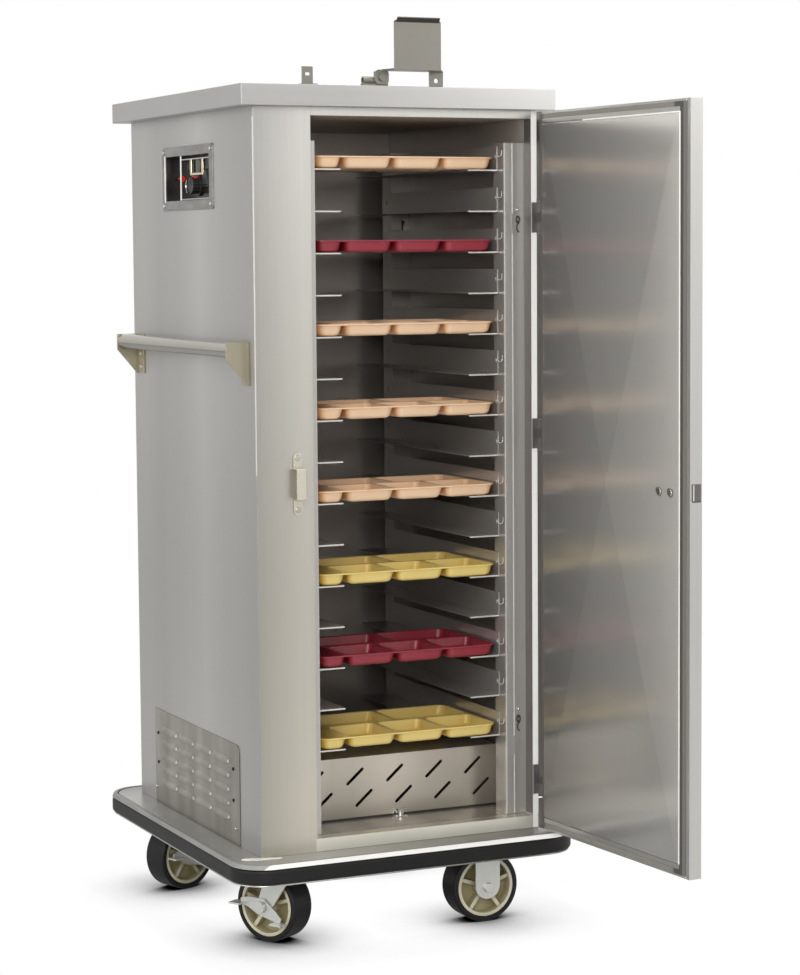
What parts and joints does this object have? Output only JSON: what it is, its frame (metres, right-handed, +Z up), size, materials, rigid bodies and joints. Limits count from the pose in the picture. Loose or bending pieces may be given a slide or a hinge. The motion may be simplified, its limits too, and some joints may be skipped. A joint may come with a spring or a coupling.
{
  "type": "enclosed meal tray cart",
  "caption": "Upright heated cabinet on casters with a hinged door, angle slides holding compartment trays, a push handle, a bumper and a turn-over roof latch.",
  "frame": {"origin": "on the floor under the middle of the cabinet", "axes": "+X to the right seen from the door side, +Y to the back, +Z up"},
  "size_m": [0.6477, 1.1479, 1.585],
  "materials": {
    "panel_steel": "brushed, soft gradients",
    "frame_steel": "brushed, warm",
    "deck_steel": "brushed",
    "liner_steel": "dull, dark",
    "rack_steel": "dull",
    "baffle_steel": "dull, warm",
    "bright_steel": "polished",
    "zinc_steel": "zinc plated",
    "bumper_vinyl": "satin black",
    "gasket_rubber": "matt",
    "tread_rubber": "satin black",
    "wheel_core": "satin cream",
    "black_plastic": "satin",
    "lamp_red": "clear red",
    "element_sheath": "dark oxide",
    "tray_peach": "satin",
    "tray_cranberry": "satin",
    "tray_yellow": "satin"
  },
  "bodies": {
    "cabinet": {"base_deck": "deck_steel", "bumper": "bumper_vinyl", "side_left": "panel_steel", "side_right": "panel_steel", "back_panel": "panel_steel", "front_frame": "frame_steel", "roof_cap": "panel_steel", "liner": "liner_steel", "liner_floor": "liner_steel", "rack_left": "rack_steel", "rack_right": "rack_steel", "slides_left": "rack_steel", "slides_right": "rack_steel", "baffle_box": "baffle_steel", "display_window": "bright_steel", "heater_element": "element_sheath", "louver_panel": "panel_steel", "body_screws": "bright_steel", "control_box": "rack_steel", "control_bezel": "frame_steel", "pilot_lamps": "lamp_red", "handle_brackets": "frame_steel", "handle_tube": "frame_steel", "strike": "frame_steel", "hinge_leaves": "frame_steel", "hinge_pins": "bright_steel", "roof_brackets": "frame_steel", "caster_plates": "zinc_steel", "forks_rigid": "zinc_steel"},
    "thermostat": {"thermostat_knob": "black_plastic"},
    "rocker": {"power_rocker": "black_plastic"},
    "door": {"door_shell": "panel_steel", "door_liner": "panel_steel", "door_gasket": "gasket_rubber", "door_hinge_leaves": "frame_steel", "latch_body": "element_sheath", "latch_screws": "bright_steel"},
    "lever": {"latch_lever": "bright_steel"},
    "bolt": {"latch_bolt": "bright_steel"},
    "flap": {"transport_flap": "frame_steel"},
    "swivel_fl": {"fork_fl": "zinc_steel"},
    "swivel_rl": {"fork_rl": "zinc_steel"},
    "brake_fl": {"brake_fl": "zinc_steel"},
    "brake_rl": {"brake_rl": "zinc_steel"},
    "wheel_fl": {"tread_fl": "tread_rubber", "core_fl": "wheel_core"},
    "wheel_fr": {"tread_fr": "tread_rubber", "core_fr": "wheel_core"},
    "wheel_rl": {"tread_rl": "tread_rubber", "core_rl": "wheel_core"},
    "wheel_rr": {"tread_rr": "tread_rubber", "core_rr": "wheel_core"},
    "tray_0": {"tray_0": "tray_peach"},
    "tray_1": {"tray_1": "tray_cranberry"},
    "tray_2": {"tray_2": "tray_peach"},
    "tray_3": {"tray_3": "tray_peach"},
    "tray_4": {"tray_4": "tray_peach"},
    "tray_5": {"tray_5": "tray_yellow"},
    "tray_6": {"tray_6": "tray_cranberry"},
    "tray_7": {"tray_7": "tray_yellow"}
  },
  "joints": [
    {"name": "door_swing", "type": "hinge", "parent": "cabinet", "child": "door", "pos_m": [0.2742, -0.3289, 0.8], "axis": [0, 0, 1], "range_deg": [-94.3, 85.7]},
    {"name": "lever_turn", "type": "hinge", "parent": "door", "child": "lever", "pos_m": [0.31308, -0.71126, 0.8037], "axis": [0.9972, 0.075, 0], "range_deg": [0, 90]},
    {"name": "bolt_slide", "type": "slide", "parent": "door", "child": "bolt", "axis": [0.075, -0.9972, 0], "range_m": [0, 0.0121]},
    {"name": "flap_turn", "type": "hinge", "parent": "cabinet", "child": "flap", "pos_m": [-0.0263, -0.299, 1.486], "axis": [0, -1, 0], "range_deg": [0, 180]},
    {"name": "knob_turn", "type": "hinge", "parent": "cabinet", "child": "thermostat", "pos_m": [-0.242, 0.02, 1.312], "axis": [-1, 0, 0], "range_deg": [-270, 0]},
    {"name": "rocker_tilt", "type": "hinge", "parent": "cabinet", "child": "rocker", "pos_m": [-0.24, -0.018, 1.3255], "axis": [0, 1, 0], "range_deg": [0, 12]},
    {"name": "swivel_fl", "type": "hinge", "parent": "cabinet", "child": "swivel_fl", "pos_m": [-0.181, -0.239, 0.14], "axis": [0, 0, 1], "continuous": true},
    {"name": "roll_fl", "type": "hinge", "parent": "swivel_fl", "child": "wheel_fl", "pos_m": [-0.20112, -0.20443, 0.0635], "axis": [0.8643, 0.503, 0], "continuous": true},
    {"name": "pedal_fl", "type": "hinge", "parent": "swivel_fl", "child": "brake_fl", "pos_m": [-0.20112, -0.20443, 0.0635], "axis": [0.8643, 0.503, 0], "range_deg": [0, 18]},
    {"name": "swivel_rl", "type": "hinge", "parent": "cabinet", "child": "swivel_rl", "pos_m": [-0.181, 0.239, 0.14], "axis": [0, 0, 1], "continuous": true},
    {"name": "roll_rl", "type": "hinge", "parent": "swivel_rl", "child": "wheel_rl", "pos_m": [-0.21859, 0.22532, 0.0635], "axis": [-0.342, 0.9397, 0], "continuous": true},
    {"name": "pedal_rl", "type": "hinge", "parent": "swivel_rl", "child": "brake_rl", "pos_m": [-0.21859, 0.22532, 0.0635], "axis": [-0.342, 0.9397, 0], "range_deg": [0, 18]},
    {"name": "roll_fr", "type": "hinge", "parent": "cabinet", "child": "wheel_fr", "pos_m": [0.181, -0.239, 0.0635], "axis": [0, 1, 0], "continuous": true},
    {"name": "roll_rr", "type": "hinge", "parent": "cabinet", "child": "wheel_rr", "pos_m": [0.181, 0.239, 0.0635], "axis": [0, 1, 0], "continuous": true},
    {"name": "tray_slide_0", "type": "slide", "parent": "cabinet", "child": "tray_0", "axis": [0, -1, 0], "range_m": [-0.25, 0.18]},
    {"name": "tray_slide_1", "type": "slide", "parent": "cabinet", "child": "tray_1", "axis": [0, -1, 0], "range_m": [-0.25, 0.18]},
    {"name": "tray_slide_2", "type": "slide", "parent": "cabinet", "child": "tray_2", "axis": [0, -1, 0], "range_m": [-0.25, 0.18]},
    {"name": "tray_slide_3", "type": "slide", "parent": "cabinet", "child": "tray_3", "axis": [0, -1, 0], "range_m": [-0.25, 0.18]},
    {"name": "tray_slide_4", "type": "slide", "parent": "cabinet", "child": "tray_4", "axis": [0, -1, 0], "range_m": [-0.25, 0.18]},
    {"name": "tray_slide_5", "type": "slide", "parent": "cabinet", "child": "tray_5", "axis": [0, -1, 0], "range_m": [-0.25, 0.18]},
    {"name": "tray_slide_6", "type": "slide", "parent": "cabinet", "child": "tray_6", "axis": [0, -1, 0], "range_m": [-0.25, 0.18]},
    {"name": "tray_slide_7", "type": "slide", "parent": "cabinet", "child": "tray_7", "axis": [0, -1, 0], "range_m": [-0.25, 0.18]}
  ],
  "couplings": [
    {"joint": "bolt_slide", "follows": "lever_turn", "m_per_rad": 0.0076}
  ]
}
